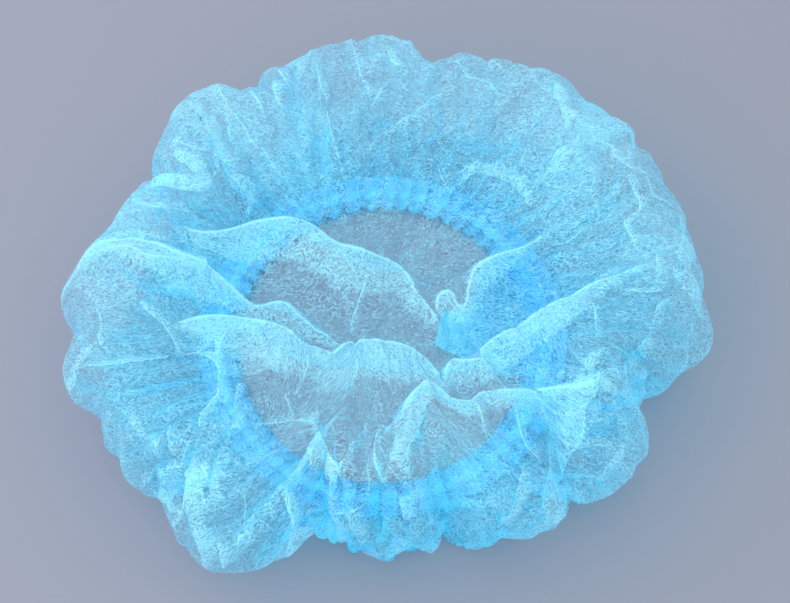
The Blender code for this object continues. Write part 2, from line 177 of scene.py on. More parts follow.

# Each crease: its height, how far the cloth laps over itself along it, and its places in the picture, in
# pixels across and down
CREASES = {
    "far left rim": (
        (0.0035, 0.0022, ((184, 100), (199, 118), (209, 136), (214, 153), (222, 169), (239, 189),
            (247, 199), (248, 219))),
        (0.0015, 0.0006, ((169, 139), (183, 143), (199, 149), (211, 151))),
        (0.0030, 0.0016, ((173, 149), (181, 161), (189, 168), (197, 178), (214, 192))),
        (0.0025, 0.0016, ((146, 186), (166, 187), (189, 193), (219, 194))),
        (0.0020, 0.0010, ((133, 196), (139, 204), (156, 207), (173, 211))),
        (0.0015, 0.0006, ((226, 93), (227, 119), (229, 143))),
        (0.0015, 0.0006, ((236, 149), (249, 143), (261, 146), (269, 163), (277, 174), (292, 189))),
    ),
    "far rim": (
        (0.0025, 0.0008, ((247, 90), (258, 104), (268, 122))),
        (0.0020, 0.0008, ((279, 68), (285, 80), (289, 93))),
        (0.0020, 0.0008, ((272, 86), (279, 103), (289, 115))),
        (0.0025, 0.0010, ((309, 54), (316, 74), (321, 90), (330, 108))),
        (0.0025, 0.0010, ((385, 43), (392, 59), (401, 68), (419, 75))),
        (0.0025, 0.0008, ((394, 74), (380, 90), (369, 109))),
        (0.0025, 0.0010, ((459, 95), (437, 97), (421, 107), (401, 120), (387, 129), (376, 140),
            (366, 149), (346, 156))),
        (0.0025, 0.0008, ((445, 60), (459, 65), (467, 77), (485, 82), (500, 97))),
        (0.0020, 0.0008, ((526, 72), (537, 88), (551, 97))),
        (0.0030, 0.0020, ((462, 182), (475, 173), (494, 175), (509, 181), (519, 193), (530, 209))),
    ),
    "right rim": (
        (0.0030, 0.0022, ((554, 79), (554, 95), (562, 111), (565, 130))),
        (0.0018, 0.0008, ((563, 103), (573, 114), (582, 126), (592, 129), (601, 125))),
        (0.0025, 0.0010, ((584, 133), (595, 142), (607, 147), (614, 160), (628, 169), (639, 171),
            (648, 182), (654, 196), (666, 202), (676, 210))),
        (0.0015, 0.0006, ((629, 142), (628, 154), (631, 163))),
        (0.0025, 0.0010, ((626, 169), (633, 188), (638, 208), (626, 221), (629, 236), (638, 252),
            (647, 264))),
        (0.0030, 0.0024, ((675, 207), (676, 229), (677, 245), (681, 263), (689, 288), (693, 301),
            (700, 315))),
        (0.0030, 0.0016, ((581, 136), (559, 154), (544, 169), (528, 189))),
        (0.0020, 0.0010, ((557, 157), (560, 169), (551, 177), (547, 192))),
        (0.0020, 0.0008, ((548, 246), (570, 242), (587, 227))),
        (0.0020, 0.0008, ((630, 233), (637, 249), (646, 263))),
        (0.0020, 0.0008, ((651, 250), (657, 261), (657, 286))),
        (0.0020, 0.0008, ((669, 265), (674, 282), (687, 304), (698, 314), (707, 324))),
        (0.0020, 0.0008, ((624, 288), (638, 292), (654, 293), (667, 288))),
    ),
    "right side": (
        (0.0035, 0.0020, ((665, 297), (654, 310), (649, 326), (638, 344), (627, 355), (618, 368),
            (600, 385))),
        (0.0025, 0.0008, ((594, 300), (596, 316), (598, 344))),
        (0.0030, 0.0014, ((603, 345), (587, 364), (578, 388))),
        (0.0080, 0.0034, ((545, 532), (552, 516), (559, 500), (563, 486), (565, 467), (573, 447),
            (589, 406), (597, 388), (598, 364), (603, 345))),
        (0.0020, 0.0008, ((603, 345), (616, 349), (623, 353))),
        (0.0020, 0.0010, ((573, 447), (596, 426), (606, 419))),
        (0.0020, 0.0010, ((575, 446), (594, 443), (607, 440))),
        (0.0020, 0.0010, ((576, 472), (593, 471), (607, 467))),
        (0.0020, 0.0008, ((575, 481), (580, 496), (583, 500))),
        (0.0025, 0.0012, ((628, 360), (614, 377), (597, 389))),
        (0.0025, 0.0014, ((622, 440), (606, 462), (590, 486))),
    ),
    "near right": (
        (0.0025, 0.0008, ((477, 399), (481, 419), (483, 433))),
        (0.0030, 0.0010, ((514, 399), (519, 416), (524, 441), (530, 453), (538, 461))),
        (0.0030, 0.0022, ((548, 430), (544, 476), (538, 502), (544, 523))),
        (0.0030, 0.0014, ((518, 464), (516, 479), (512, 500), (502, 519), (492, 528))),
        (0.0025, 0.0014, ((440, 517), (448, 509), (464, 505), (482, 505), (500, 506))),
        (0.0025, 0.0008, ((407, 529), (429, 520), (459, 508))),
    ),
    "near rim": (
        (0.0020, 0.0007, ((283, 391), (288, 407), (292, 422))),
        (0.0025, 0.0008, ((253, 432), (261, 425), (278, 422), (293, 423), (306, 425), (317, 428))),
        (0.0020, 0.0007, ((300, 380), (296, 397))),
        (0.0030, 0.0018, ((337, 485), (337, 470), (331, 453), (324, 436), (319, 419), (316, 410))),
        (0.0025, 0.0008, ((312, 433), (311, 450), (309, 470))),
        (0.0025, 0.0010, ((367, 420), (363, 432), (352, 447), (345, 467), (344, 481))),
        (0.0025, 0.0008, ((380, 430), (375, 440), (377, 459), (382, 475), (387, 489))),
        (0.0025, 0.0008, ((376, 429), (394, 429), (417, 432))),
        (0.0035, 0.0022, ((410, 482), (411, 450), (418, 436), (429, 411), (438, 399))),
        (0.0030, 0.0014, ((427, 388), (411, 404), (398, 425))),
        (0.0035, 0.0016, ((281, 484), (281, 503), (283, 531), (282, 561))),
        (0.0035, 0.0016, ((290, 491), (289, 510), (289, 545), (288, 557))),
        (0.0035, 0.0016, ((307, 510), (307, 529), (312, 536))),
        (0.0030, 0.0012, ((316, 510), (338, 516), (337, 537), (330, 543))),
        (0.0030, 0.0012, ((352, 503), (351, 520), (356, 533), (366, 538))),
        (0.0030, 0.0012, ((386, 515), (382, 529), (370, 545))),
        (0.0030, 0.0012, ((399, 492), (404, 506), (407, 522))),
    ),
    "left side": (
        (0.0035, 0.0014, ((137, 297), (148, 312), (162, 325), (172, 338), (175, 347), (179, 354))),
        (0.0030, 0.0012, ((179, 354), (201, 354), (213, 364), (216, 380), (217, 394), (210, 404),
            (201, 419), (200, 433), (190, 442), (182, 452))),
        (0.0040, 0.0022, ((182, 452), (187, 464), (193, 481), (190, 502), (193, 520), (201, 543),
            (204, 570))),
        (0.0025, 0.0010, ((231, 325), (221, 340), (215, 357))),
        (0.0035, 0.0018, ((66, 388), (76, 384), (86, 364), (96, 342))),
        (0.0025, 0.0010, ((79, 368), (110, 364), (141, 361), (169, 356))),
        (0.0030, 0.0014, ((120, 408), (131, 421), (145, 436), (154, 446), (161, 457))),
        (0.0025, 0.0010, ((172, 422), (173, 436), (176, 454))),
        (0.0025, 0.0010, ((246, 380), (239, 391), (234, 414), (246, 428))),
        (0.0020, 0.0008, ((199, 433), (229, 429), (245, 429))),
        (0.0030, 0.0014, ((204, 461), (211, 475), (211, 495), (194, 512))),
        (0.0030, 0.0012, ((217, 520), (220, 548), (224, 570))),
        (0.0030, 0.0014, ((252, 526), (239, 534), (224, 564))),
        (0.0025, 0.0010, ((154, 484), (176, 470), (182, 464))),
        (0.0030, 0.0014, ((156, 495), (168, 502), (182, 513))),
        (0.0025, 0.0009, ((89, 262), (110, 250), (130, 248), (147, 255), (166, 259), (189, 263),
            (206, 266))),
        (0.0040, 0.0024, ((173, 210), (186, 234), (194, 252), (203, 265), (210, 262))),
        (0.0020, 0.0008, ((93, 300), (104, 322), (100, 340), (110, 352))),
    ),
    "crown": (
        (0.0020, 0.0008, ((345, 244), (347, 262), (358, 276))),
        (0.0025, 0.0010, ((368, 263), (366, 285), (357, 305), (353, 322), (353, 333))),
        (0.0015, 0.0006, ((336, 262), (337, 280), (345, 297), (352, 310))),
        (0.0020, 0.0010, ((306, 350), (308, 362), (303, 378), (298, 388))),
        (0.0015, 0.0006, ((356, 350), (357, 368), (348, 386))),
        (0.0020, 0.0008, ((430, 380), (445, 372), (455, 384), (465, 395))),
    ),
}

# Facets of the crumpled cloth: rings of them on the flat disc, each a share of its radius and a count.
# Rise and run are those of the sharp edges between facets, tilt is each facet's own slope
FACET_RINGS = ((0.10, 5), (0.25, 10), (0.40, 15), (0.53, 23), (0.67, 27), (0.80, 30), (0.93, 36))
FACET_RISE = 0.0018
FACET_RUN = 0.0055
FACET_TILT = 0.07

# How the cloth settles: rounds of solving on each finer grid, and how much of the gathered length it
# finds room for on each. The hem holds the cloth from a share of the disc's radius outward, and the
# outline is fitted to the seen edge with the coarser grids
SETTLE = ((38, 120, 0.85), (76, 60, 0.62), (152, 30, 0.50), (304, 14, 0.42))
EDGE_STAGES = (SETTLE[:2], SETTLE[:2], SETTLE[:3])
HELD_FROM = 0.955
FORM_ROWS = 320
ROWS_BETWEEN = 10


def around(stops, values, degrees):
    """Reads values that are known at some azimuths at any others, as a smooth closed curve."""
    count = len(stops)
    turn = np.mod(np.asarray(degrees, float), 360.0)
    here = np.searchsorted(stops, turn, side="right") - 1

    def stop(index):
        return stops[index % count] + 360.0 * np.floor_divide(index, count)

    def value(index):
        return values[index % count]

    turn = np.where(turn < stop(here), turn + 360.0, turn)
    span = stop(here + 1) - stop(here)
    share = (turn - stop(here)) / span
    leave = (value(here + 1) - value(here - 1)) / (stop(here + 1) - stop(here - 1)) * span
    arrive = (value(here + 2) - value(here)) / (stop(here + 2) - stop(here)) * span
    square = share * share
    cube = square * share
    return (
        (2 * cube - 3 * square + 1) * value(here)
        + (cube - 2 * square + share) * leave
        + (3 * square - 2 * cube) * value(here + 1)
        + (cube - square) * arrive
    )


def smooth_through(points, steps):
    """Runs a smooth curve through rows of points, with that many steps between two rows."""
    padded = np.concatenate([2 * points[:1] - points[1:2], points, 2 * points[-1:] - points[-2:-1]])
    pieces = []
    for row in range(1, len(padded) - 2):
        before, start, end, after = padded[row - 1 : row + 3]
        for step in range(steps):
            share = step / steps
            square = share * share
            cube = square * share
            pieces.append(
                start * (1 - 2.5 * square + 1.5 * cube)
                + before * (-0.5 * share + square - 0.5 * cube)
                + end * (0.5 * share + 2 * square - 1.5 * cube)
                + after * (0.5 * cube - 0.5 * square)
            )
    pieces.append(padded[-2])
    return np.array(pieces)


DEGREES = np.arange(TURNS) * 360.0 / TURNS
ANGLES = np.radians(DEGREES)
CREST_STOPS = np.array([row[0] for row in CREST_HEIGHTS], float)
CREST_SHARES = np.array([row[1] for row in CREST_HEIGHTS])
CREST = around(CREST_STOPS, CREST_SHARES, DEGREES) * CAP_HEIGHT
OPENING_X = MIDDLE_X + OPENING_SHIFT[0]
OPENING_Y = MIDDLE_Y + OPENING_SHIFT[1]


def seen(points):
    """Where the camera sees each point, in pixels across and down, and how far behind the middle."""
    across = points[..., 0] - MIDDLE_X
    deep = points[..., 1] - MIDDLE_Y
    rise = points[..., 2] - VIEW_HEIGHT
    up = deep * math.sin(VIEW_DOWN) + rise * math.cos(VIEW_DOWN)
    behind = deep * math.cos(VIEW_DOWN) - rise * math.sin(VIEW_DOWN)
    scale = VIEW_AWAY / (VIEW_AWAY + behind) / PIXEL_SIZE
    return VIEW_PIXEL[0] + across * scale, VIEW_PIXEL[1] - up * scale, behind


def plan_place(pixel, height):
    """Where a place in the picture lies from above, as azimuth and reach, at a known height."""
    sine = math.sin(VIEW_DOWN)
    cosine = math.cos(VIEW_DOWN)
    up = (VIEW_PIXEL[1] - pixel[1]) * PIXEL_SIZE
    rise = height - VIEW_HEIGHT
    deep = (VIEW_AWAY * rise * cosine - up * (VIEW_AWAY - rise * sine)) / (up * cosine - VIEW_AWAY * sine)
    behind = deep * cosine - rise * sine
    across = (pixel[0] - VIEW_PIXEL[0]) * PIXEL_SIZE * (1 + behind / VIEW_AWAY)
    return math.degrees(math.atan2(deep, across)) % 360, math.hypot(across, deep)


def edge_places():
    """The seen edge from above: azimuths in rising order, the reach at each, and the picture's places."""
    rows = []
    for pixel in EDGE_SEEN:
        azimuth, reach = plan_place(pixel, VIEW_HEIGHT)
        for turn in range(2):
            share = 0.50 + 0.25 * math.sin(math.radians(azimuth))
            crest = float(around(CREST_STOPS, CREST_SHARES, azimuth)) * CAP_HEIGHT
            azimuth, reach = plan_place(pixel, crest * share)
        rows.append((azimuth, reach, *pixel))
    rows.sort()
    return np.array(rows)


def gather_phase(angles):
    """Runs once for each gather, unevenly, as the elastic draws them up."""
    return (
        GATHERS * angles
        + 1.3 * np.sin(5 * angles + 0.4)
        + 0.9 * np.sin(11 * angles + 2.0)
        + 0.5 * np.sin(17 * angles + 1.0)
    )


def gather_height(angles):
    """How far the gathers lift the hem, in metres, at each azimuth."""
    size = 0.0013 + 0.0004 * np.sin(3 * angles + 1.0) + 0.0003 * np.sin(7 * angles)
    return size * (1 - np.abs(np.cos(gather_phase(angles) / 2)) * 2 + 0.3)


def ring(grow, angles):
    """The points of the opening's oval, grown outward by a length."""
    across = OPENING_WIDTH / 2 + grow
    deep = OPENING_DEPTH / 2 + grow
    return OPENING_X + across * np.cos(angles), OPENING_Y + deep * np.sin(angles)


def nearest_part(points, line):
    """How near each point is to a line, how many steps along it, the way off it, and the line's own way."""
    nearest = np.full(points.shape[:-1], 1.0)
    along = np.zeros(points.shape[:-1])
    off = np.zeros_like(points)
    way = np.zeros_like(points)
    for index, (start, end) in enumerate(zip(line, line[1:])):
        run = end - start
        share = np.clip(((points - start) @ run) / (run @ run + 1e-12), 0, 1)
        away = points - (start + share[..., None] * run)
        distance = np.linalg.norm(away, axis=-1)
        closer = distance < nearest
        nearest[closer] = distance[closer]
        along[closer] = index + share[closer]
        off[closer] = away[closer]
        way[closer] = run
    return nearest, along, off, way


def fold_shift(points_x, points_y):
    """How far the cross folds lift the crown at each point, and lean it over to the back."""
    place = np.stack([points_x - MIDDLE_X, points_y - MIDDLE_Y], -1)
    lift = np.zeros_like(points_x)
    lean = np.zeros_like(points_x)
    near = np.zeros_like(points_x)
    crest_side = np.full_like(points_x, SIDE_LIMIT)
    strip = np.zeros_like(points_x)
    for rows in FOLDS.values():
        line = smooth_through(np.array(rows), 6)
        line[:, 1] -= FOLD_SLOPE["lean"] * line[:, 2] / FOLD_FULL
        nearest, along, off, way = nearest_part(place, line[:, :2])
        rise = np.interp(along, np.arange(len(line)), line[:, 2])
        back = way[..., 0] * off[..., 1] > way[..., 1] * off[..., 0]
        reach = np.where(back, FOLD_SLOPE["back"], FOLD_SLOPE["front"])
        shape = np.where(back, np.exp(-((nearest / reach) ** 2)), np.exp(-nearest / reach * 1.2))
        ridge = rise * CAP_HEIGHT * shape
        higher = ridge > lift
        lift = np.where(higher, ridge, lift)
        over = FOLD_SLOPE["lean"] * rise / FOLD_FULL * np.exp(-((nearest / 0.009) ** 2))
        lean = np.where(higher, over, lean)
        close = np.exp(-((nearest / CREASE_MARK) ** 2)) * np.clip(rise / 0.15, 0, 1)
        crest_side = np.where(close > near, np.where(back, nearest, -nearest), crest_side)
        near = np.maximum(close, near)
        width = FOLD_DOUBLED * np.clip(rise / 0.25, 0, 1)
        doubled = np.clip((width - nearest) / 0.0012, 0, 1) * np.where(back, 0, 1)
        strip = np.maximum(strip, doubled)
    return lift, lean, near, np.clip(crest_side, -SIDE_LIMIT, SIDE_LIMIT), strip


def profile_rows(edge_degrees, edge_reach):
    """The settled cap's form before it wrinkles, as rows that each run once around."""
    rows = []
    crest_row = int(np.argmax(CROWN[:, 1]))
    even = CREST.mean()
    outline_reach = around(edge_degrees, edge_reach, DEGREES)
    outline_x = MIDDLE_X + outline_reach * np.cos(ANGLES)
    outline_y = MIDDLE_Y + outline_reach * np.sin(ANGLES)
    for reach, height in CROWN:
        points_x = MIDDLE_X + (outline_x - MIDDLE_X) * reach
        points_y = MIDDLE_Y + (outline_y - MIDDLE_Y) * reach
        local = even + (CREST - even) * min(reach / 0.6, 1)
        rows.append(np.stack([points_x, points_y, height * local], 1))
    mouth_x, mouth_y = ring(HEM_WIDTH / 2, ANGLES)
    for way_out, height in UNDERSIDE:
        points_x = mouth_x + (outline_x - mouth_x) * way_out
        points_y = mouth_y + (outline_y - mouth_y) * way_out
        rows.append(np.stack([points_x, points_y, np.full(TURNS, height)], 1))
    points_x, points_y = ring(EDGE_IN_HEM, ANGLES)
    rows.append(np.stack([points_x, points_y, np.full(TURNS, 0.0025)], 1))
    rows = np.array(rows)
    dense = smooth_through(rows, ROWS_BETWEEN)
    crown_end = crest_row * ROWS_BETWEEN
    lift, lean, near, crest_side, strip = fold_shift(dense[..., 0], dense[..., 1])
    row_share = np.arange(len(dense)) / crown_end
    keep = np.clip((1.45 - row_share) / 0.35, 0, 1)[:, None]
    room = CAP_HEIGHT * 1.02 - dense[..., 2]
    lift = room * np.tanh(np.maximum(lift, 0) / np.maximum(room, 1e-4))
    dense[..., 2] += lift * keep
    dense[..., 1] += lean * keep
    grip = np.clip(lift / (0.12 * CAP_HEIGHT), 0, 1) * keep
    marks = np.stack([grip, near * (keep > 0), crest_side, strip * (keep > 0)], -1)
    return np.concatenate([dense, marks], -1)


def even_rows(dense, steps):
    """The same form with its rows spread evenly along each line from the middle to the hem."""
    lengths = np.linalg.norm(np.diff(dense[..., :3], axis=0), axis=2)
    travelled = np.concatenate([np.zeros((1, TURNS)), np.cumsum(lengths, axis=0)])
    total = travelled[-1]
    spectrum = np.fft.rfft(travelled / total, axis=1)
    spectrum[:, 24:] = 0
    shares = np.fft.irfft(spectrum, TURNS, axis=1)
    shares = np.maximum.accumulate(shares, axis=0)
    shares[0] = 0
    shares[-1] = 1
    result = np.empty((steps + 1, TURNS, dense.shape[-1]))
    wanted = np.linspace(0, 1, steps + 1)
    for turn in range(TURNS):
        for axis in range(dense.shape[-1]):
            result[:, turn, axis] = np.interp(wanted, shares[:, turn], dense[:, turn, axis])
    return result


def flat_disc(count):
    """A square grid of points drawn out to a disc: the cloth as it is cut, in polar form."""
    side = np.linspace(-1, 1, count + 1)
    across, back = np.meshgrid(side, side)
    reach = np.maximum(np.abs(across), np.abs(back))
    wide = np.abs(across) >= np.abs(back)
    turn_wide = np.where(across < 0, 180, 0) + 45 * back / np.where(wide & (across != 0), across, 1)
    turn_back = np.where(back < 0, 270, 90) - 45 * across / np.where(wide | (back == 0), 1, back)
    degrees = np.where(wide, turn_wide, turn_back) % 360
    return reach, np.radians(degrees)


def read_polar(polar, reach, angles):
    """Reads the rows at any reach and azimuth."""
    row = np.clip(reach * (len(polar) - 1), 0, len(polar) - 1.0001)
    column = angles / (2 * math.pi) * TURNS
    low_row = row.astype(int)
    low_column = np.floor(column).astype(int)
    row_share = (row - low_row)[..., None]
    column_share = (column - low_column)[..., None]
    low_column = low_column % TURNS
    next_column = (low_column + 1) % TURNS
    inner = polar[low_row, low_column] * (1 - column_share) + polar[low_row, next_column] * column_share
    outer = polar[low_row + 1, low_column] * (1 - column_share)
    outer = outer + polar[low_row + 1, next_column] * column_share
    return inner * (1 - row_share) + outer * row_share


def grid_normals(points):
    """The outward direction at each point of a grid, from its wider neighbourhood."""
    padded = np.pad(points, ((2, 2), (2, 2), (0, 0)), mode="edge")
    along = padded[4:, 2:-2] - padded[:-4, 2:-2]
    across = padded[2:-2, 4:] - padded[2:-2, :-4]
    normal = np.cross(across, along)
    for step in range(3):
        wide = np.pad(normal, ((1, 1), (1, 1), (0, 0)), mode="edge")
        normal = wide[1:-1, 1:-1] + wide[2:, 1:-1] + wide[:-2, 1:-1] + wide[1:-1, 2:] + wide[1:-1, :-2]
    return normal / np.maximum(np.linalg.norm(normal, axis=-1, keepdims=True), 1e-12)


def picture_lines(points):
    """The places of each crease on the grid: of the points seen there, the one nearest to the camera."""
    across, down, behind = seen(points)
    found = []
    for rows in CREASES.values():
        for height, overlap, places in rows:
            line = []
            for pixel in places:
                distance = np.hypot(across - pixel[0], down - pixel[1])
                shown = distance < max(2.5, distance.min() + 1.0)
                line.append(np.unravel_index(np.argmin(np.where(shown, behind, 9)), behind.shape))
            found.append((height, overlap, tuple(np.array(line).T)))
    return found


def crease_shift(points, normal, lines):
    """How the lighter creases move each point, how near it is to one, its side, and where cloth doubles."""
    move = np.zeros_like(points)
    doubled = np.zeros(points.shape[:2])
    flat_doubled = doubled.reshape(-1)
    near = np.zeros(points.shape[:2])
    crease_side = np.full(points.shape[:2], SIDE_LIMIT)
    flat_points = points.reshape(-1, 3)
    flat_normal = normal.reshape(-1, 3)
    flat_move = move.reshape(-1, 3)
    flat_near = near.reshape(-1)
    flat_side = crease_side.reshape(-1)
    for height, overlap, places in lines:
        line = smooth_through(points[places], 4)
        room = 3 * CREASE_RUN
        inside = (flat_points > line.min(0) - room) & (flat_points < line.max(0) + room)
        picked = np.nonzero(inside.all(1))[0]
        up = flat_normal[picked]
        nearest, along, off, way = nearest_part(flat_points[picked], line)
        way /= np.maximum(np.linalg.norm(way, axis=1, keepdims=True), 1e-12)
        across = np.cross(way, up)
        signed = nearest * np.sign(np.einsum("ij,ij->i", off, across))
        share = along / (len(line) - 1)
        size = np.sin(np.clip(np.minimum(share, 1 - share) / CREASE_ENDS, 0, 1) * math.pi / 2)
        tent = CREASE_PEAK * height * size * np.exp(-nearest / CREASE_RUN)
        turn_over = np.tanh(signed / CREASE_TURN)
        lap_over = -LAP_PEAK * overlap * size * turn_over * np.exp(-((nearest / LAP_RUN) ** 2))
        layer = -LAYER_STEP * turn_over * size * np.exp(-((nearest / LAYER_RUN) ** 2))
        width = STRIP_WIDTH * overlap * size * np.where(signed < 0, 1, 0)
        strip = np.clip((width - nearest) / STRIP_EDGE, 0, 1) * min(1, overlap / FULL_OVERLAP)
        flat_doubled[picked] = np.maximum(flat_doubled[picked], strip)
        flat_move[picked] += up * (tent + layer)[:, None] + across * lap_over[:, None]
        close = np.exp(-((nearest / CREASE_MARK) ** 2)) * size**2 * min(1, height / FULL_HEIGHT)
        better = close > flat_near[picked]
        flat_side[picked] = np.where(better, np.clip(signed, -SIDE_LIMIT, SIDE_LIMIT), flat_side[picked])
        flat_near[picked] = np.maximum(close, flat_near[picked])
    return move, near, crease_side, doubled


def facets(reach, angles):
    """The crumple's shift at each point, its edge strength, distance from that edge, and thickness."""
    random = np.random.default_rng(11)
    turns = []
    reaches = []
    for ring_reach, count in FACET_RINGS:
        jitter = random.uniform(-0.35, 0.35, count)
        turns.append((np.arange(count) + random.uniform() + jitter) * 2 * math.pi / count)
        reaches.append(ring_reach + random.uniform(-0.045, 0.045, count))
    turns = np.concatenate(turns)
    reaches = np.concatenate(reaches)
    count = len(turns)
    factor = random.uniform(-0.7, 1.0, (count, count))
    slope = random.normal(0, FACET_TILT, (count, 2))
    thickness = random.uniform(0, 1, count) ** 2
    flat_reach = reach.ravel()
    wander = 0.012 * np.sin(flat_reach * 31 + 5 * angles.ravel()) + 0.010 * np.sin(13 * angles.ravel())
    turned = (angles.ravel()[:, None] - turns + math.pi) % (2 * math.pi) - math.pi
    stretch = 1 + 1.0 * np.clip((flat_reach - 0.4) / 0.2, 0, 1)
    across = turned * (flat_reach * stretch)[:, None]
    along = (flat_reach + wander)[:, None] - reaches
    distance = np.hypot(across, along)
    pair = np.argpartition(distance, 1, axis=1)[:, :2]
    row = np.arange(len(pair))
    swapped = distance[row, pair[:, 0]] > distance[row, pair[:, 1]]
    first = np.where(swapped, pair[:, 1], pair[:, 0])
    second = np.where(swapped, pair[:, 0], pair[:, 1])
    radius = FLAT_ACROSS / 2
    edge = (distance[row, second] - distance[row, first]) / 2 * radius
    strength = factor[np.minimum(first, second), np.maximum(first, second)]
    zone = np.clip((flat_reach - 0.15) / 0.30, 0.12, 1)
    ridge = FACET_RISE * strength * np.exp(-edge / FACET_RUN)
    tilt = (across[row, first] * slope[first, 0] + along[row, first] * slope[first, 1]) * radius
    shift = (ridge + tilt * (1 - np.exp(-edge / 0.006))) * zone
    signed = np.where(first < second, edge, -edge)
    marked = np.clip(strength, 0, 1) * zone * np.exp(-((edge / CREASE_MARK) ** 2))
    thick = thickness[first] * np.clip(edge / 0.0015, 0, 1) * zone
    shape = reach.shape
    return shift.reshape(shape), marked.reshape(shape), signed.reshape(shape), thick.reshape(shape)


def bend_share(points, normal):
    """How sharply the cloth bends at each point: 1 on a sharp ridge, less in a valley, 0 where flat."""
    total = np.zeros(points.shape[:2])
    for step in (1, 2):
        padded = np.pad(points, ((step, step), (step, step), (0, 0)), mode="edge")
        ahead = padded[2 * step :, step:-step] + padded[: -2 * step, step:-step]
        sideways = padded[step:-step, 2 * step :] + padded[step:-step, : -2 * step]
        bent = -np.einsum("ijk,ijk->ij", (ahead + sideways) / 4 - points, normal)
        size = np.linalg.norm(padded[2 * step :, step:-step] - padded[: -2 * step, step:-step], axis=-1) / 2
        share = bent / np.maximum(size, 0.0005)
        total = np.maximum(total, np.clip((np.where(share < 0, -0.5 * share, share) - 0.03) / 0.14, 0, 1))
    return total


def blurred(values, rounds):
    """Evens out a grid of values."""
    for step in range(rounds):
        edges = ((1, 1), (1, 1)) + ((0, 0),) * (values.ndim - 2)
        padded = np.pad(values, edges, mode="edge")
        values = (
            4 * values + padded[2:, 1:-1] + padded[:-2, 1:-1] + padded[1:-1, 2:] + padded[1:-1, :-2]
        ) / 8
    return values


def target_form(polar, count):
    """The form's points on a grid, with the gathers' pleats laid in toward the hem."""
    reach, angles = flat_disc(count)
    read = read_polar(polar, reach, angles)
    points = read[..., :3]
    ahead = read_polar(polar, np.clip(reach + 0.01, 0, 1), angles)[..., :3]
    behind = read_polar(polar, np.clip(reach - 0.01, 0, 1), angles)[..., :3]
    outward = ahead - behind
    sideways = np.stack([-np.sin(angles), np.cos(angles), np.zeros_like(angles)], -1)
    normal = np.cross(outward, sideways)
    normal = -normal / np.maximum(np.linalg.norm(normal, axis=-1, keepdims=True), 1e-9)
    phase = gather_phase(angles)
    drift = 0.8 * np.sin(9 * angles + 1) + 0.6 * np.sin(4 * angles)
    near = np.exp(-(((reach - 0.93) / 0.06) ** 2)) * 0.0030 * np.sin(phase)
    half = np.exp(-(((reach - 0.84) / 0.08) ** 2)) * 0.0035 * np.sin(phase / 2 + drift)
    quarter = np.exp(-(((reach - 0.70) / 0.10) ** 2)) * 0.0035 * np.sin(phase / 4 + 2 * drift)
    points = points + normal * (near + half + quarter)[..., None]
    hem = np.clip((reach - 0.965) / 0.015, 0, 1)[..., None]
    height = (gather_height(angles) * hem[..., 0])[..., None] * np.array((0, 0, 1.0))
    return points + height, reach, angles, read[..., 3:]


def pull_pairs(points, first, second, rest, push):
    """Moves each pair of points toward its rest length: fully if stretched, partly if squeezed."""
    span = points[second] - points[first]
    length = np.sqrt(np.einsum("ijk,ijk->ij", span, span)) + 1e-12
    error = (length - rest) / length
    error = np.where(error < 0, error * push, error)
    move = span * (0.5 * error)[..., None]
    points[first] += move
    points[second] -= move


def pairs_of(step_down, step_across, start_down, start_across, count):
    """The slices of two sets of grid points, one step apart, that share no point between pairs."""
    size = count + 1
    jump = 2 * max(step_down, abs(step_across))
    down_jump = jump if step_down else 1
    across_jump = 1 if step_down else jump
    across_low = max(0, -step_across)
    across_high = size - max(0, step_across)
    down_high = size - step_down
    first = (
        slice(start_down, down_high, down_jump),
        slice(across_low + start_across, across_high, across_jump),
    )
    second = (
        slice(start_down + step_down, size, down_jump),
        slice(across_low + start_across + step_across, across_high + step_across, across_jump),
    )
    return first, second


def settle(points, form, flat, hold, rounds, room):
    """Lets the cloth take up its own length: it buckles into wrinkles where the form is too tight."""
    count = len(points) - 1
    families = []
    for step_down, step_across, push in (
        (0, 1, 0.8),
        (1, 0, 0.8),
        (1, 1, 0.5),
        (1, -1, 0.5),
        (0, 2, 0.25),
        (2, 0, 0.25),
    ):
        widest = max(step_down, abs(step_across))
        for start in range(2 * widest):
            start_down = start if step_down else 0
            start_across = 0 if step_down else start
            first, second = pairs_of(step_down, step_across, start_down, start_across, count)
            cut = np.linalg.norm(flat[second] - flat[first], axis=-1)
            lies = np.linalg.norm(form[second] - form[first], axis=-1)
            wanted = lies + (np.minimum(cut, 2.4 * lies) - lies) * np.where(cut > lies, room, 1.0)
            if widest == 2:
                wanted = lies + (wanted - lies) * 0.5
            families.append((first, second, wanted, push))
    for step in range(rounds):
        points += (form - points) * hold
        for first, second, wanted, push in families:
            pull_pairs(points, first, second, wanted, push)
        points[..., 2] = np.maximum(points[..., 2], CLOTH_LOWEST)
    return points


def finer(offsets):
    """Doubles a grid of offsets."""
    for axis in (0, 1):
        offsets = np.moveaxis(offsets, axis, 0)
        between = (offsets[1:] + offsets[:-1]) / 2
        wide = between.copy()
        wide[1:-1] = (9 * (offsets[1:-2] + offsets[2:-1]) - offsets[:-3] - offsets[3:]) / 16
        doubled = np.empty((2 * len(offsets) - 1,) + offsets.shape[1:])
        doubled[0::2] = offsets
        doubled[1::2] = wide
        offsets = np.moveaxis(doubled, 0, axis)
    return offsets


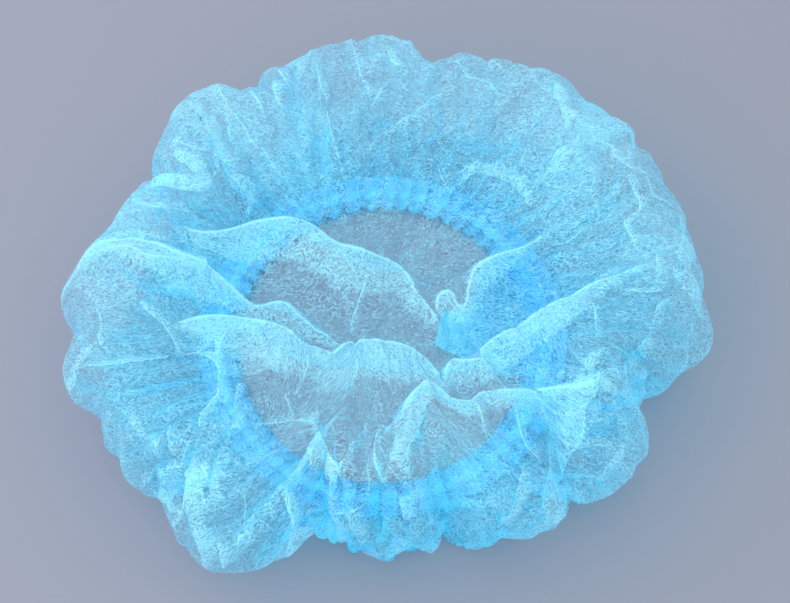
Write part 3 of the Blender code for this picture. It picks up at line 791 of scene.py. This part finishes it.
def settled_points(edge_degrees, edge_reach, stages):
    """The cloth after it has settled on its form, its flat disc, their places, and the folds' marks."""
    polar = even_rows(profile_rows(edge_degrees, edge_reach), FORM_ROWS)
    random = np.random.default_rng(7)
    offsets = None
    for count, rounds, room in stages:
        form, reach, angles, marks = target_form(polar, count)
        flat = np.stack([reach * np.cos(angles), reach * np.sin(angles)], -1) * FLAT_ACROSS / 2
        if offsets is None:
            offsets = random.normal(0, 0.0008, form.shape)
        else:
            offsets = finer(offsets)
        hold = 0.012 + 0.35 * marks[..., 0] + 0.98 * np.clip((reach - HELD_FROM) / 0.03, 0, 1) ** 2
        hold = np.minimum(hold, 1)
        points = settle(form + offsets, form, flat, hold[..., None], rounds, room)
        offsets = points - form
    return points, flat, reach, angles, marks


def fitted_edge():
    """The outline's azimuths and reach with which the settled cloth shows its edge where it is seen."""
    degrees, reach, pixel_x, pixel_y = edge_places().T
    wanted_turn = np.arctan2(VIEW_PIXEL[1] - pixel_y, pixel_x - VIEW_PIXEL[0])
    wanted = np.hypot(VIEW_PIXEL[1] - pixel_y, pixel_x - VIEW_PIXEL[0])
    for stages in EDGE_STAGES:
        across, down, behind = seen(settled_points(degrees, reach, stages)[0])
        turn = np.arctan2(VIEW_PIXEL[1] - down, across - VIEW_PIXEL[0])
        away = np.hypot(VIEW_PIXEL[1] - down, across - VIEW_PIXEL[0])
        ratio = np.empty(len(reach))
        for index in range(len(reach)):
            off_turn = np.abs((turn - wanted_turn[index] + math.pi) % (2 * math.pi) - math.pi)
            shown = np.sort(away[off_turn < 0.014])[-2:].mean()
            ratio[index] = wanted[index] / shown
        even = (np.roll(ratio, 1) + 2 * ratio + np.roll(ratio, -1)) / 4
        reach = reach * (1 + 0.8 * (even - 1))
    return degrees, reach


def settled_cloth():
    """The cap's cloth after it has settled, the flat disc's points, and the marks its finish reads."""
    degrees, edge_reach = fitted_edge()
    stages = [stage for stage in SETTLE if stage[0] <= GRID]
    points, flat, reach, angles, marks = settled_points(degrees, edge_reach, stages)
    normal = grid_normals(points)
    free = np.clip((HELD_FROM - reach) / 0.03, 0, 1)
    shift, edge_near, edge_side, thick = facets(reach, angles)
    calm = 1 - 0.8 * marks[..., 0]
    crumple = normal * (blurred(shift, 2) * calm * free)[..., None]
    move, near, crease_side, doubled = crease_shift(points, normal, picture_lines(points + crumple))
    points = points + move * free[..., None] + crumple
    points[..., 2] = np.maximum(points[..., 2], CLOTH_LOWEST)
    for other_near, other_side in ((edge_near * 0.6 * calm, edge_side), (marks[..., 1], marks[..., 2])):
        crease_side = np.where(other_near > near, np.clip(other_side, -SIDE_LIMIT, SIDE_LIMIT), crease_side)
        near = np.maximum(near, other_near)
    bend = blurred(bend_share(points, grid_normals(points)), 1)
    doubled = np.maximum(doubled, marks[..., 3])
    packed = packed_share(points, flat) * np.clip((reach - 0.5) / 0.15, 0, 1)
    closed = 0.3 * packed + 0.65 * doubled + 0.50 * thick + 0.22 * bend
    marks = {"crease_near": near * free, "crease_side": crease_side, "closed": closed, "packed": packed}
    return points, flat, marks


def packed_share(points, flat):
    """How tightly the gathers pack the cloth at each point, from 0 where it lies open."""
    total = []
    for grid in (points, np.concatenate([flat, np.zeros_like(flat[..., :1])], -1)):
        across = grid[1:, 1:] - grid[:-1, :-1]
        back = grid[:-1, 1:] - grid[1:, :-1]
        area = np.linalg.norm(np.cross(across, back), axis=-1) / 2
        padded = np.pad(area, 3, mode="edge")
        smooth = sum(
            padded[row : row + len(area), column : column + len(area)]
            for row in range(7)
            for column in range(7)
        )
        total.append(smooth)
    share = np.clip(total[1] / np.maximum(total[0], 1e-12) - 1.05, 0, 0.7) / 0.7
    return np.pad(share, ((0, 1), (0, 1)), mode="edge")


def new_mesh(name, grid_points, wrap, flat):
    """Skins a grid of points as one object, with the flat cloth's places as its map."""
    rows, columns = grid_points.shape[:2]
    index = np.arange(rows * columns).reshape(rows, columns)
    if wrap:
        index = np.concatenate([index, index[:, :1]], axis=1)
    corners = [index[:-1, :-1], index[:-1, 1:], index[1:, 1:], index[1:, :-1]]
    faces = np.stack([corner.ravel() for corner in corners], 1)
    mesh = bpy.data.meshes.new(name)
    mesh.from_pydata(grid_points.reshape(-1, 3).tolist(), [], faces.tolist())
    mesh.update()
    layer = mesh.uv_layers.new(name="flat_cloth")
    loops = np.empty(len(mesh.loops), np.int32)
    mesh.loops.foreach_get("vertex_index", loops)
    layer.data.foreach_set("uv", flat.reshape(-1, 2)[loops].ravel())
    mesh.shade_smooth()
    piece = bpy.data.objects.new(name, mesh)
    bpy.context.scene.collection.objects.link(piece)
    return piece


def add_marks(piece, marks):
    """Gives each point of a piece the marks that its finish reads."""
    for name, values in marks.items():
        layer = piece.data.attributes.new(name, "FLOAT", "POINT")
        layer.data.foreach_set("value", values.ravel().astype(np.float32))


def add_node(tree, kind, inputs, **settings):
    """Adds a shader node with its settings. Each input is a value or the output of another node."""
    node = tree.nodes.new(kind)
    for name, value in settings.items():
        setattr(node, name, value)
    for name, value in inputs.items():
        if isinstance(value, bpy.types.NodeSocket):
            tree.links.new(value, node.inputs[name])
        else:
            node.inputs[name].default_value = value
    return node


def worked(tree, operation, *terms, clamp=False):
    """Adds a node that does a sum, and gives its result."""
    node = add_node(tree, "ShaderNodeMath", dict(enumerate(terms)), operation=operation, use_clamp=clamp)
    return node.outputs[0]


WEB_PITCH = 0.0012
STRANDS = (
    {"turn": 12.0, "stretch": (0.45, 1.25, 1.0), "weight": 1.0, "seed": 3.0},
    {"turn": -28.0, "stretch": (0.55, 1.5, 1.0), "weight": 0.8, "seed": 9.0},
    {"turn": 70.0, "stretch": (0.7, 1.3, 1.0), "weight": 0.45, "seed": 15.0},
)


def nonwoven_group():
    """Fibres of the spunbond web, as a mask of where the web is thick and where it has gaps."""
    group = bpy.data.node_groups.new("nonwoven", "ShaderNodeTree")
    group.interface.new_socket("Place", in_out="INPUT", socket_type="NodeSocketVector")
    group.interface.new_socket("Openness", in_out="INPUT", socket_type="NodeSocketFloat")
    group.interface.new_socket("Fibre", in_out="OUTPUT", socket_type="NodeSocketFloat")
    entry = group.nodes.new("NodeGroupInput")
    exit_node = group.nodes.new("NodeGroupOutput")
    scaled = {0: entry.outputs["Place"], "Scale": 1 / WEB_PITCH}
    place = add_node(group, "ShaderNodeVectorMath", scaled, operation="SCALE").outputs[0]
    swirl = add_node(group, "ShaderNodeTexNoise", {"Vector": place, "Scale": 0.22, "Detail": 2.0})
    off_middle = {0: swirl.outputs["Color"], 1: (0.5, 0.5, 0.5)}
    centred = add_node(group, "ShaderNodeVectorMath", off_middle, operation="SUBTRACT")
    bending = {0: centred.outputs[0], 1: (5.0, 5.0, 5.0), 2: place}
    bent = add_node(group, "ShaderNodeVectorMath", bending, operation="MULTIPLY_ADD").outputs[0]

    total = None
    for strand in STRANDS:
        turned = add_node(
            group,
            "ShaderNodeMapping",
            {
                "Vector": bent,
                "Location": (strand["seed"], strand["seed"] * 1.7, 0),
                "Rotation": (0, 0, math.radians(strand["turn"])),
                "Scale": strand["stretch"],
            },
        )
        strands = add_node(
            group,
            "ShaderNodeTexNoise",
            {"Vector": turned.outputs[0], "Scale": 0.8, "Detail": 1.5, "Roughness": 0.6},
        )
        ridge = worked(group, "ABSOLUTE", worked(group, "SUBTRACT", strands.outputs["Fac"], 0.5))
        sharp = add_node(
            group,
            "ShaderNodeMapRange",
            {"Value": ridge, "From Min": 0.0, "From Max": 0.11, "To Min": strand["weight"], "To Max": 0.0},
            interpolation_type="SMOOTHSTEP",
        ).outputs[0]
        total = sharp if total is None else worked(group, "MAXIMUM", total, sharp)

    patch = add_node(group, "ShaderNodeTexNoise", {"Vector": place, "Scale": 0.12, "Detail": 3.0})
    uneven = worked(group, "ADD", total, worked(group, "MULTIPLY_ADD", patch.outputs["Fac"], 0.5, -0.25))
    kept = worked(group, "SUBTRACT", worked(group, "SUBTRACT", 1.0, entry.outputs["Openness"]), 0.5)
    group.links.new(worked(group, "ADD", uneven, kept, clamp=True), exit_node.inputs["Fibre"])
    return group


def cloth_material(name, group, thin, thick, deep, gap_alpha, fibre_alpha, openness, gap_tint, shadow_tint):
    """Spunbond cloth: matt fibres that let light through, and gaps that show what lies behind."""
    finish = bpy.data.materials.new(name)
    finish.use_nodes = True
    tree = finish.node_tree
    shader = tree.nodes["Principled BSDF"]
    marks = {}
    for mark in ("packed", "closed", "crease_near", "crease_side"):
        marks[mark] = add_node(tree, "ShaderNodeAttribute", {}, attribute_name=mark).outputs["Fac"]
    off_line = worked(tree, "ABSOLUTE", marks["crease_side"])
    line = add_node(
        tree,
        "ShaderNodeMapRange",
        {"Value": off_line, "From Min": 0.0001, "From Max": 0.0009, "To Min": 1.0, "To Max": 0.0},
        interpolation_type="SMOOTHSTEP",
    )
    marked = worked(tree, "MULTIPLY", line.outputs["Result"], marks["crease_near"])
    closing = worked(tree, "ADD", marks["closed"], marked)
    openness_left = worked(tree, "MULTIPLY_ADD", closing, -0.6, openness)
    place = add_node(tree, "ShaderNodeUVMap", {}, uv_map="flat_cloth").outputs["UV"]
    web = add_node(tree, "ShaderNodeGroup", {}, node_tree=group)
    tree.links.new(place, web.inputs["Place"])
    tree.links.new(openness_left, web.inputs["Openness"])
    fibre = web.outputs["Fibre"]

    mixed = {"Factor": fibre, "A": (*thin, 1.0), "B": (*thick, 1.0)}
    colour = add_node(tree, "ShaderNodeMix", mixed, data_type="RGBA").outputs["Result"]
    mixed = {"Factor": marks["packed"], "A": colour, "B": (*deep, 1.0)}
    deeper = add_node(tree, "ShaderNodeMix", mixed, data_type="RGBA").outputs["Result"]
    bump = add_node(tree, "ShaderNodeBump", {"Height": fibre, "Strength": 0.4, "Distance": 0.0002})
    tree.links.new(deeper, shader.inputs["Base Color"])
    tree.links.new(bump.outputs["Normal"], shader.inputs["Normal"])
    shader.inputs["Roughness"].default_value = 0.85
    shader.inputs["Metallic"].default_value = 0.0
    shader.inputs["Sheen Weight"].default_value = 0.25
    shader.inputs["Specular IOR Level"].default_value = 0.25

    through = add_node(tree, "ShaderNodeBsdfTranslucent", {"Color": deeper})
    halves = {"Fac": 0.35, 1: shader.outputs["BSDF"], 2: through.outputs["BSDF"]}
    body = add_node(tree, "ShaderNodeMixShader", halves)
    cover = add_node(
        tree, "ShaderNodeMapRange", {"Value": fibre, "To Min": gap_alpha, "To Max": fibre_alpha}
    )
    lined = worked(tree, "MULTIPLY_ADD", marked, 0.15, cover.outputs["Result"], clamp=True)
    clear = add_node(tree, "ShaderNodeBsdfTransparent", {"Color": (*gap_tint, 1.0)})
    halves = {"Fac": lined, 1: clear.outputs["BSDF"], 2: body.outputs["Shader"]}
    open_web = add_node(tree, "ShaderNodeMixShader", halves)
    tinted = add_node(tree, "ShaderNodeBsdfTransparent", {"Color": (*shadow_tint, 1.0)})
    path = tree.nodes.new("ShaderNodeLightPath")
    shadow = path.outputs["Is Shadow Ray"]
    halves = {"Fac": shadow, 1: open_web.outputs["Shader"], 2: tinted.outputs["BSDF"]}
    shown = add_node(tree, "ShaderNodeMixShader", halves)
    tree.links.new(shown.outputs["Shader"], tree.nodes["Material Output"].inputs["Surface"])
    return finish


web_group = nonwoven_group()
cloth_points, cloth_flat, cloth_marks = settled_cloth()
cap_cloth = new_mesh("cap_cloth_looks", cloth_points, False, cloth_flat)
add_marks(cap_cloth, cloth_marks)
cap_cloth.data.materials.append(
    cloth_material(
        "spunbond_cloth",
        web_group,
        thin=(0.31, 0.75, 0.97),
        thick=(0.35, 0.85, 1.0),
        deep=(0.12, 0.75, 1.0),
        gap_alpha=0.02,
        fibre_alpha=0.72,
        openness=0.88,
        gap_tint=(0.88, 0.92, 0.96),
        shadow_tint=(0.56, 0.97, 1.0),
    )
)
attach(cap_cloth, "root")
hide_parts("cap_cloth")


# The hem
# The disc's edge, turned over into a casing of two layers and stitched down by heat. The elastic in it
# draws it up into small ruffles, so its inner edge is scalloped.

HEM_ROWS = 9
HEM_TURNS = 1120


def hem_points():
    """The two leaves of the hem, as rows from the outer edge inward below and back out above."""
    angles = np.arange(HEM_TURNS) * 2 * math.pi / HEM_TURNS
    swing = 0.75 + 0.25 * np.sin(4 * angles + 2) + 0.2 * np.sin(13 * angles)
    depth = (0.0024 - 0.0014 * np.sin(angles)) * swing
    scallop = depth * (1 - np.abs(np.cos(gather_phase(angles) / 2)))
    lift = gather_height(angles)
    inner = -HEM_WIDTH / 2 + scallop
    rows = []
    shares = np.linspace(0, 1, HEM_ROWS)
    for layer, order in ((-1, shares), (1, shares[::-1][1:])):
        for share in order:
            grow = HEM_WIDTH / 2 + (inner - HEM_WIDTH / 2) * share
            points_x, points_y = ring(grow, angles)
            gap = 0.0009 * math.sin(math.pi / 2 * min(1, (1 - share) * 4))
            ruffle = lift * (0.7 + 0.9 * share)
            height = np.maximum(HEM_HEIGHT + ruffle + layer * gap, 0.0005)
            rows.append(np.stack([points_x, points_y, height], 1))
    return np.array(rows), angles


hem_rows, hem_angles = hem_points()
hem_lengths = np.linspace(0, 2 * HEM_WIDTH, len(hem_rows))
hem_flat = np.empty(hem_rows.shape[:2] + (2,))
hem_flat[..., 0] = hem_angles[None, :] * 0.16
hem_flat[..., 1] = hem_lengths[:, None]
hem = new_mesh("hem_looks", hem_rows, True, hem_flat)
hem_drift = 0.25 * np.sin(5 * hem_angles + 1) + 0.2 * np.sin(23 * hem_angles)
hem_ruffle = 0.35 + hem_drift + 0.18 * np.cos(gather_phase(hem_angles)) + np.zeros((len(hem_rows), 1))
add_marks(hem, {"closed": hem_ruffle, "crease_near": 0 * hem_ruffle})
# The hem's blues are darker and deeper than the crown cloth's. This is partly its two layers of cloth and
# partly painted shade of the crown that lies over it.
hem.data.materials.append(
    cloth_material(
        "hem_cloth",
        web_group,
        thin=(0.05, 0.52, 0.86),
        thick=(0.18, 0.67, 0.91),
        deep=(0.07, 0.59, 0.89),
        gap_alpha=0.22,
        fibre_alpha=0.82,
        openness=0.66,
        gap_tint=(0.60, 0.88, 0.96),
        shadow_tint=(0.45, 0.80, 0.95),
    )
)
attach(hem, "root")
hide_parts("hem_casing")


# The elastic
# A flat elastic, which lies loose in the hem's casing and is joined to itself end to end. It is as pale
# blue as it looks through the casing.

ELASTIC_WIDTH = 0.005
ELASTIC_THICKNESS = 0.0008

elastic_angles = np.arange(HEM_TURNS) * 2 * math.pi / HEM_TURNS
elastic_rows = []
for grow, rise in (
    (ELASTIC_WIDTH / 2, -0.5),
    (-ELASTIC_WIDTH / 2, -0.5),
    (-ELASTIC_WIDTH / 2, 0.5),
    (ELASTIC_WIDTH / 2, 0.5),
    (ELASTIC_WIDTH / 2, -0.5),
):
    row_x, row_y = ring(grow, elastic_angles)
    row_z = HEM_HEIGHT + gather_height(elastic_angles) * 0.9 + rise * ELASTIC_THICKNESS
    elastic_rows.append(np.stack([row_x, row_y, row_z], 1))
elastic_rows = np.array(elastic_rows)
elastic_flat = np.zeros(elastic_rows.shape[:2] + (2,))
elastic = new_mesh("elastic_looks", elastic_rows, True, elastic_flat)
elastic_finish = bpy.data.materials.new("elastic")
elastic_finish.use_nodes = True
elastic_shader = elastic_finish.node_tree.nodes["Principled BSDF"]
elastic_shader.inputs["Base Color"].default_value = (0.30, 0.66, 0.88, 1)
elastic_shader.inputs["Roughness"].default_value = 0.7
elastic.data.materials.append(elastic_finish)
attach(elastic, "root")
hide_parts("elastic_band")


# The hem's overlapped end
# The strip of hem overlaps itself where its ends meet. The loose end lies in over the opening's right
# side, flat and with a square corner.

LAP_EDGE = (
    (-0.26, 0.74),
    (-0.03, 0.32),
    (0.19, 0.365),
    (0.205, 0.53),
    (0.415, 0.58),
    (0.525, 0.65),
    (0.60, 0.72),
)
LAP_STEPS = 12
LAP_FINE = 6

lap_rows = []
for (back, edge), (next_back, next_edge) in zip(LAP_EDGE, LAP_EDGE[1:]):
    for step in range(LAP_FINE):
        share = step / LAP_FINE
        here_back = back + (next_back - back) * share
        here_edge = edge + (next_edge - edge) * share
        held = math.sqrt(1 - here_back**2) + 0.04
        line = []
        for cell in range(LAP_STEPS + 1):
            share_x = here_edge + (held - here_edge) * cell / LAP_STEPS
            inside = math.hypot(share_x, here_back)
            drop = min(max((0.84 - inside) / 0.3, 0), 1)
            ripple = 0.0006 * math.sin(9 * share_x + 14 * here_back)
            line.append(
                (
                    OPENING_X + share_x * OPENING_WIDTH / 2,
                    OPENING_Y + here_back * OPENING_DEPTH / 2,
                    0.0062 - 0.0040 * drop + ripple,
                )
            )
        lap_rows.append(line)
lap_rows = np.array(lap_rows)
lap_flat = lap_rows[..., :2].copy()
lap = new_mesh("hem_lap_looks", lap_rows, False, lap_flat)
corner_x = OPENING_X + 0.37 * OPENING_WIDTH / 2
corner_y = OPENING_Y + 0.06 * OPENING_DEPTH / 2
from_corner = np.hypot(lap_rows[..., 0] - corner_x, lap_rows[..., 1] - corner_y)
add_marks(lap, {"closed": 1.4 * np.exp(-((from_corner / 0.014) ** 2)), "crease_near": 0 * from_corner})
# The lap's blues are deeper than the crown cloth's. This is partly its doubled cloth and partly painted
# shade of the crown above it, tinted blue as the crown filters the light.
lap.data.materials.append(
    cloth_material(
        "lap_cloth",
        web_group,
        thin=(0.06, 0.60, 0.97),
        thick=(0.14, 0.72, 1.0),
        deep=(0.08, 0.62, 0.94),
        gap_alpha=0.22,
        fibre_alpha=0.82,
        openness=0.62,
        gap_tint=(0.5, 0.8, 0.95),
        shadow_tint=(0.30, 0.70, 0.90),
    )
)
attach(lap, "root")
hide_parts("hem_lap")


# The table
# A plain matt surface of pale grey blue, far wider than the cap, that the cap lies on.

bpy.ops.mesh.primitive_plane_add(size=8, location=(0, 0, 0))
table = bpy.context.object
table.name = "table"
table_finish = bpy.data.materials.new("table")
table_finish.use_nodes = True
table_shader = table_finish.node_tree.nodes["Principled BSDF"]
table_shader.inputs["Base Color"].default_value = (0.209, 0.227, 0.284, 1)
table_shader.inputs["Roughness"].default_value = 0.9
table_shader.inputs["Specular IOR Level"].default_value = 0.1
table.data.materials.append(table_finish)


# The light
# Soft and white: a wide panel on the left above and behind the cap, another in front of it on the left,
# and an even light all round.

world = bpy.data.worlds.new("studio")
bpy.context.scene.world = world
world.use_nodes = True
world.node_tree.nodes["Background"].inputs["Color"].default_value = (1.0, 1.0, 1.0, 1)
world.node_tree.nodes["Background"].inputs["Strength"].default_value = 1.27

for panel_name, panel_depth, panel_place in (
    ("panel", 1.2, (-1.1, 0.6, 1.15)),
    ("front_panel", 1.0, (-0.8, -1.0, 1.0)),
):
    panel = bpy.data.lights.new(panel_name, "AREA")
    panel.shape = "RECTANGLE"
    panel.size = 1.2
    panel.size_y = panel_depth
    panel.energy = 11.0
    panel_object = bpy.data.objects.new(panel_name, panel)
    panel_object.location = panel_place
    panel_object.rotation_euler = (-panel_object.location).to_track_quat("-Z", "Y").to_euler()
    bpy.context.scene.collection.objects.link(panel_object)

bpy.context.scene.view_settings.view_transform = "Standard"
bpy.context.scene.cycles.transparent_max_bounces = 48


# The camera
# Above and in front of the cap, looking down at it by 57 degrees.

LOOK_AT = (MIDDLE_X + 0.0034, MIDDLE_Y + 0.0031, 0.0320)

camera_data = bpy.data.cameras.new("camera")
camera_data.lens = 116.6
camera_data.sensor_width = 36
camera = bpy.data.objects.new("camera", camera_data)
camera.location = (
    LOOK_AT[0],
    LOOK_AT[1] - VIEW_AWAY * math.cos(VIEW_DOWN),
    LOOK_AT[2] + VIEW_AWAY * math.sin(VIEW_DOWN),
)
camera.rotation_euler = (math.pi / 2 - VIEW_DOWN, 0, 0)
bpy.context.scene.collection.objects.link(camera)
bpy.context.scene.camera = camera
